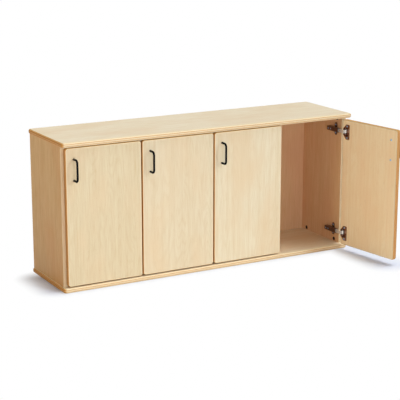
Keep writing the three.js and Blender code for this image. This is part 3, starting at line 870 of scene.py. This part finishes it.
def flange_outline():
    """Anticlockwise outline of the flange, seen from inside the door, X and Z in mm."""
    near, far = -FLANGE["near"], -CUP["setback"] - CUP["radius"]
    nose, bend = FLANGE["nose"] / 2, FLANGE["round"]
    up, ear, tip = FLANGE["height"] / 2 - bend, far + FLANGE["ear"] - bend, far + bend
    points = [(near, -nose), (near, nose)]
    for quarter, middle in enumerate(((ear, up), (tip, up), (tip, -up), (ear, -up))):
        points += arc(middle, bend, quarter, 1, steps=6)
    return points


def hinge_cup():
    """The cup, its flange and its pin, in the closed door's frame about the hinge's height."""
    outline = flange_outline()
    levels = (flange_top, flange_floor)
    flange = skin("cup", [[Vector((x, y, z)) * MM for x, z in outline] for y in levels])
    mouth = (CUP["radius"] - CUP["wall"], (-CUP["setback"], flange_floor - PAST, 0))
    carve(flange, [rod(*mouth, (0, 1, 0), FLANGE["metal"] + 2 * PAST, sides=64)])
    bowl = turned("bowl", BOWL, sides=64)
    bowl.data.transform(move((-CUP["setback"], BOARD, 0)) @ inward)
    half = math.sqrt((CUP["radius"] - PIN["short"]) ** 2 - (CUP["setback"] + PIN_PLACE[0]) ** 2)
    pin = rod(PIN["radius"], (*PIN_PLACE, -half), (0, 0, 1), 2 * half, sides=24)
    return carve(carve(flange, [bowl], "UNION"), [pin], "UNION")


# the cup's warm brown plating is a painted reflection of the wood
cup = dressed(ease_edges(hinge_cup(), radius=0.18, angle=60), nickel)
print("cup faces:", len(cup.data.polygons))

# %% Closing springs
SPRING = {"radius": 2.0, "turns": 2, "pitch": 1.0, "start": 7.05, "steps": 20}
WIRE = (0.45, 8)  # its radius in mm, and its sides


def closing_spring(side):
    """A coil of steel wire on one end of the cup's pin."""
    rings = []
    for step in range(SPRING["turns"] * SPRING["steps"] + 1):
        turns = step / SPRING["steps"]
        out = Vector((math.cos(turns * 2 * math.pi), math.sin(turns * 2 * math.pi), 0))
        height = side * (SPRING["start"] + SPRING["pitch"] * turns)
        middle = Vector((*PIN_PLACE, height)) + SPRING["radius"] * out
        rings.append(bar_ring(middle, WIRE, out, Vector((0, 0, -1))))
    return skin("spring", rings)


# the springs share the cup's painted warm reflection
springs = {end: dressed(shade(closing_spring(side)), nickel) for end, side in ENDS.items()}
for number in DOORS:
    body = f"door_leaf_{number}"
    for end, z in HINGES.items():
        hinge = f"{number}_{end}"
        place = on_door(number) @ move((0, 0, z))
        fit_copy(cup, f"cup_with_flange_{hinge}", place, body, f"hinge_cup_{hinge}")
        for other, spring in springs.items():
            fit_copy(spring, f"closing_spring_{hinge}_{other}", place, body)
        for other, side in ENDS.items():
            spot = (-CUP_SCREWS["setback"], flange_top, side * CUP_SCREWS["spacing"] / 2)
            name, seat = f"cup_screw_{hinge}_{other}", place @ move(spot) @ inward
            fit_copy(screws["hinge_screw"], name, seat, body)
print("spring faces:", len(springs["upper"].data.polygons))

# %% [markdown]
# ## Links
# The link turns on the cup's pin and reaches into the arm: an eye, a short crank and a leg, folded
# from one strip of plate. It keeps almost the same direction while the door swings, so it gets a
# body of its own in the frame. The eye is turned, the strip is made of two plates, and the three
# are fused before the edges are eased.

# %% Links
LINK = {"width": 13.0, "metal": 1.6, "crank": 11.141, "leg": 37.972, "lean": 8}
EYE = {"radius": 3.0, "bore": 1.8}
WINDOW = {"after_crank": 9, "before_end": 7, "half": 2.2}


def hinge_link():
    """The link about its pin, with its leg along X."""
    half, thin, crank, leg = LINK["width"] / 2, LINK["metal"] / 2, LINK["crank"], LINK["leg"]
    eye = rod(EYE["radius"], (0, 0, -half), (0, 0, 1), 2 * half)
    plates = [
        block((-thin, 0, -half), (thin, crank + thin, half)),
        block((-thin, crank - thin, -half), (leg, crank + thin, half)),
    ]
    carve(eye, plates, "UNION")
    start, end, gap = crank + WINDOW["after_crank"], leg - WINDOW["before_end"], WINDOW["half"]
    holes = [
        rod(EYE["bore"], (0, 0, -half - PAST), (0, 0, 1), 2 * (half + PAST), sides=24),
        block((start, crank - PAST, -gap), (end, crank + PAST, gap)),
    ]
    carve(eye, holes)
    eye.data.transform(Matrix.Rotation(math.radians(90 - LINK["lean"]), 4, "Z"))
    return eye


link = dressed(ease_edges(hinge_link(), radius=0.3, angle=50), highlight_painted_nickel)
ratios = {c["joint"]: c["ratio"] for c in frame["record"]["behaviour"]["couplings"]}
for number in DOORS:
    swing = Matrix.Rotation(ratios[f"links_{number}_turn"] * opening(number), 4, "Z")
    for end, z in HINGES.items():
        place = on_door(number) @ move((*PIN_PLACE, z)) @ swing
        name, node = f"folded_link_{number}_{end}", f"hinge_link_{number}_{end}"
        fit_copy(link, name, place, f"links_{number}", node)
print("link faces:", len(link.data.polygons))

# %% [markdown]
# ## Arms and mounting plates
# The arm is a channel of 1.2 mm steel that covers the link and straddles the block of the
# mounting plate. Two screws sit in its web: the rear one clamps it, and the front one moves the
# door sideways and has a slot. The plate has two round-ended wings, screwed to the panel.

# %% Arms
ARM = {"width": 16, "metal": 1.2, "inner": 19.51, "outer": 20.71, "foot": 7.15, "bend": 1.6}
ARM_RUN = (19.8, 91.0)  # mm from the door's face to the arm's nose and to its tail
WALL = -7.0  # the panel's face, seen from the door's hinge edge
ARM_SCREWS = {"rear": 82.0, "front": 66.0}
ARM_HOLES = {"screw": 2.6, "slot": 5, "spare": 2.2, "spare_place": 46}  # radii, half length, Y


def channel_section():
    """The arm's section, X and Z in mm, with its bends rounded outside."""
    half, bend = ARM["width"] / 2, ARM["bend"]
    foot, web = WALL - ARM["foot"], WALL - ARM["outer"]
    outer = arc((web + bend, bend - half), bend, 3, -1, steps=4)
    outer += arc((web + bend, half - bend), bend, 2, -1, steps=4)
    floor, wall = web + ARM["metal"], half - ARM["metal"]
    inner = [(foot, wall), (floor, wall), (floor, -wall), (foot, -wall)]
    return [(foot, -half), *outer, (foot, half), *inner]


def hinge_arm():
    """The channel with its slots, in the closed door's frame about the hinge's height."""
    section = channel_section()
    channel = skin("arm", [[Vector((x, y, z)) * MM for x, z in section] for y in ARM_RUN])
    web, front, gap = WALL - ARM["outer"], ARM_SCREWS["front"], ARM_HOLES["screw"]
    low, high = front - ARM_HOLES["slot"], front + ARM_HOLES["slot"]
    tools = [block((web - PAST, low, -gap), (web + PAST, high, gap))]
    for radius, y in ((gap, ARM_SCREWS["rear"]), (ARM_HOLES["spare"], ARM_HOLES["spare_place"])):
        tools.append(rod(radius, (web - PAST, y, 0), (1, 0, 0), 2 * PAST, sides=24))
    return carve(channel, tools)


arm = dressed(ease_edges(hinge_arm(), radius=0.15, angle=60), shade_painted_nickel)
print("arm faces:", len(arm.data.polygons))

# %% Mounting plates
PLATE = {"middle": 57.0, "length": 50, "width": 15, "metal": 2.0, "front": 53.35, "tail": 89.0}
CLAMP_HOLE = {"radius": 2.3, "depth": 7}
plate_floor = WALL - SEAT


def mounting_plate():
    """Two wings, the block between them and its screw hole."""
    round_end = PLATE["width"] / 2 - 0.05  # a full half circle would double its points
    wing = rounded_ring(PLATE["length"] * MM, PLATE["width"] * MM, round_end * MM, steps=10)
    rings = [
        [Vector(((plate_floor - x) * MM, PLATE["middle"] * MM + p.y, p.x)) for p in wing]
        for x in (0, PLATE["metal"])
    ]
    wings = skin("plate", [list(reversed(ring)) for ring in rings])
    side = ARM["width"] / 2 - ARM["metal"] - SEAT
    inner = WALL - ARM["inner"] + SEAT
    rail = block((inner, PLATE["front"], -side), (plate_floor, PLATE["tail"], side))
    hole = (CLAMP_HOLE["radius"], (inner - PAST, ARM_SCREWS["rear"], 0), (1, 0, 0))
    carve(wings, [rail], "UNION")
    return carve(wings, [rod(*hole, CLAMP_HOLE["depth"] + PAST, sides=24)])


plate = dressed(ease_edges(mounting_plate(), radius=0.35, angle=60), shade_painted_nickel)
to_panel = Matrix.Rotation(-math.pi / 2, 4, "Y")
for number in DOORS:
    for end, z in HINGES.items():
        hinge = f"{number}_{end}"
        place = hinge_line(number) @ move((0, 0, z))
        fit_copy(arm, f"channel_arm_{hinge}", place, "carcass", f"hinge_arm_{hinge}")
        fit_copy(plate, f"mounting_plate_{hinge}", place, "carcass", f"hinge_plate_{hinge}")
        for spot, y in ARM_SCREWS.items():
            seat = place @ move((WALL - ARM["outer"], y, 0)) @ to_panel
            name = f"arm_screw_{hinge}_{spot}"
            fit_copy(screws["arm_screw"], name, seat, "carcass")
        for other, side in ENDS.items():
            height = side * PLATE_SCREWS["spacing"] / 2
            seat = place @ move((plate_floor - PLATE["metal"], PLATE["middle"], height)) @ to_panel
            name = f"plate_screw_{hinge}_{other}"
            fit_copy(screws["hinge_screw"], name, seat, "carcass")
print("plate faces:", len(plate.data.polygons))

# %% [markdown]
# ## Panel connectors
# Round cam housings lock the slabs to the ends of the uprights. Each lies flush in the panel,
# with a rim, a slightly dished face and a cross for the driver. They show as dark dots above and
# below the hinges. The frame has those of the right side, and the partitions get the same ones.

# %% Connectors
HOUSING = (  # radius and height in mm, from the end of the body to the middle of the face
    (7.1, -12), (7.5, -11.6), (7.5, -0.3), (7.2, 0), (6.3, 0), (6.0, -0.5), (1.0, -0.7),
)
housing = shade(carve(turned("housing", HOUSING, 40), cross(arm=4.5, blade=2, floor=-2.4, top=0)))
dressed(housing, dark_plastic)
for node in DRILLED:
    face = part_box(node)[0].x
    for spot, middle in connector_places.items():
        place = Matrix.Translation((face, middle.y, middle.z)) @ to_panel
        stands_for = f"connector_{spot}" if node == "side_right" else None
        name = f"cam_housing_{node}_{spot}"
        fit_copy(housing, name, place, "carcass", stands_for)

for pattern in (cup, link, arm, plate, housing, *screws.values(), *springs.values()):
    bpy.data.objects.remove(pattern)

# %% [markdown]
# ## Floor and light
# The unit stands in a white studio: the floor and the air look plain white, and the floor keeps
# the soft shadow. The key light is cool, low and fairly narrow, from the front right. A wide soft
# one hangs overhead, a softbox stands at the front left at about the unit's height, and a warm one
# far off to the left fills the shaded side. Light that has bounced off the floor is a little
# warmer than the floor looks, because the set around the real unit was warm.

# %% Floor
FLOOR = (60, 60, 2, 6)  # sides and corner radius in metres, and a corner's steps
FLOOR_LEVELS = (-0.02, -0.0004)
FOOTPRINTS = [  # what stands in the middle of the shadow, in metres: the row and the open door
    ((-0.61, -0.09), (0.61, 0.06)),
    ((0.6, -0.42), (0.63, -0.16)),
]
SHADOW_REACH = 0.11


def beyond(tree, where, low, high):
    """How far a point of the floor lies outside a rectangle."""
    middle = [(a + b) / 2 for a, b in zip(low, high)]
    half = [(b - a) / 2 for a, b in zip(low, high)]
    off = add(tree, "VectorMath", {0: where, 1: (*middle, 0.0)}, operation="SUBTRACT")
    far = add(tree, "VectorMath", {0: off}, operation="ABSOLUTE")
    past = add(tree, "VectorMath", {0: far, 1: (*half, 1.0)}, operation="SUBTRACT")
    held = add(tree, "VectorMath", {0: past, 1: (0.0, 0.0, 0.0)}, operation="MAXIMUM")
    return add(tree, "VectorMath", {0: held}, out="Value", operation="LENGTH")


def looked_at(tree):
    """1 for the camera and for what shows in metal or through glass, and 0 for other light."""
    seen = 0.0
    for ray in ("Is Camera Ray", "Is Glossy Ray", "Is Transmission Ray"):
        seen = add(tree, "Math", {0: seen, 1: add(tree, "LightPath", out=ray)}, operation="MAXIMUM")
    return seen


floor = skin("studio_floor", [rounded_ring(*FLOOR, level) for level in FLOOR_LEVELS])
pale_blue = {"Base Color": "#e0e9fc", "Roughness": 0.9}
material, tree, shader = new_material("studio_floor_paint", pale_blue)
where = add(tree, "TexCoord", out="Object")
gaps = [beyond(tree, where, low, high) for low, high in FOOTPRINTS]
gap = add(tree, "Math", {0: gaps[0], 1: gaps[1]}, operation="MINIMUM")
fade = {"Value": gap, 1: 0.0, 2: SHADOW_REACH, 3: 0.05, 4: 1.0}
white = add(tree, "MapRange", fade, interpolation_type="SMOOTHSTEP")
glow = add(tree, "Emission", {"Color": "#ffffff", "Strength": 1.0})
paint = add(tree, "MixShader", {0: white, 1: shader.outputs[0], 2: glow})
bounce = add(tree, "BsdfDiffuse", {"Color": (0.76, 0.74, 0.71, 1.0)})
both = add(tree, "MixShader", {0: looked_at(tree), 1: bounce, 2: paint})
feed(tree, tree.nodes["Material Output"], {"Surface": both})
floor.data.materials.append(material)
floor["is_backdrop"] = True
print("the floor's shadow reaches", SHADOW_REACH / MM, "mm")

# %% Sky and lamps
WHITE = (1.0, 1.0, 1.0)
KEY_COLOUR = (0.76, 0.9, 1.0)
FRONT_COLOUR = (0.88, 0.87, 1.0)
LEFT_COLOUR = (1.0, 0.7, 0.3)
scene = bpy.context.scene
scene.world = bpy.data.worlds.new("studio_air")
scene.world.use_nodes = True
sky = scene.world.node_tree
level = add(sky, "MapRange", {"Value": looked_at(sky), 1: 0.0, 2: 1.0, 3: 0.2, 4: 1.0})
feed(sky, sky.nodes["Background"], {"Color": (*WHITE, 1.0), "Strength": level})


def hang(name, kind, strength, colour, facing, place=(0.0, 0.0, 0.0), **settings):
    """Hangs a lamp at a place, facing a direction."""
    lamp = bpy.data.lights.new(name, kind)
    lamp.energy = strength
    lamp.color = colour
    for setting, value in settings.items():
        setattr(lamp, setting, value)
    holder = new_object(name, lamp)
    holder.location = place
    holder.rotation_euler = Vector(facing).to_track_quat("-Z", "Y").to_euler()


hang("key_light", "SUN", 1.0, KEY_COLOUR, (-0.66, 1.0, -0.46), angle=math.radians(9.5))
hang("overhead_light", "SUN", 1.72, WHITE, (-0.4, 0.15, -1.0), angle=math.radians(36))
at_front = ((0.7, 2.55, -0.33), (-0.7, -2.7, 0.6))  # which way it faces, and its place
at_left = ((4.5, 1.0, -1.7), (-4.6, -1.1, 2.0))
hang("front_softbox", "AREA", 22, FRONT_COLOUR, *at_front, shape="RECTANGLE", size=0.9, size_y=1.0)
hang("left_softbox", "AREA", 37, LEFT_COLOUR, *at_left, shape="RECTANGLE", size=1.6, size_y=1.6)

# %% [markdown]
# ## Camera
# The photograph was taken from the left and above with a long lens. A camera fitted to the unit's
# own corners gives its place, its turn and its focal length.

# %% Camera
TILT = 14.082  # degrees down from level
TURN = -29.1  # degrees, seen from above, from looking along Y
lens = bpy.data.cameras.new("camera")
lens.lens = 113.66
lens.sensor_width = 36
camera = new_object("camera", lens)
camera.location = (-2.2616, -4.1064, 1.4128)
camera.rotation_euler = (math.radians(90 - TILT), 0, math.radians(TURN))
scene.camera = camera
scene.view_settings.view_transform = "Standard"
away = camera.location - (cad_low + cad_high) / 2
print("camera to the unit's middle:", round(away.length, 2), "m")

# %% Compare the two boxes
bpy.context.view_layer.update()
low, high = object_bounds()
pairs = zip([*low, *high], [*cad_low, *cad_high])
print("difference in mm:", [round((a - b) / MM, 2) for a, b in pairs])
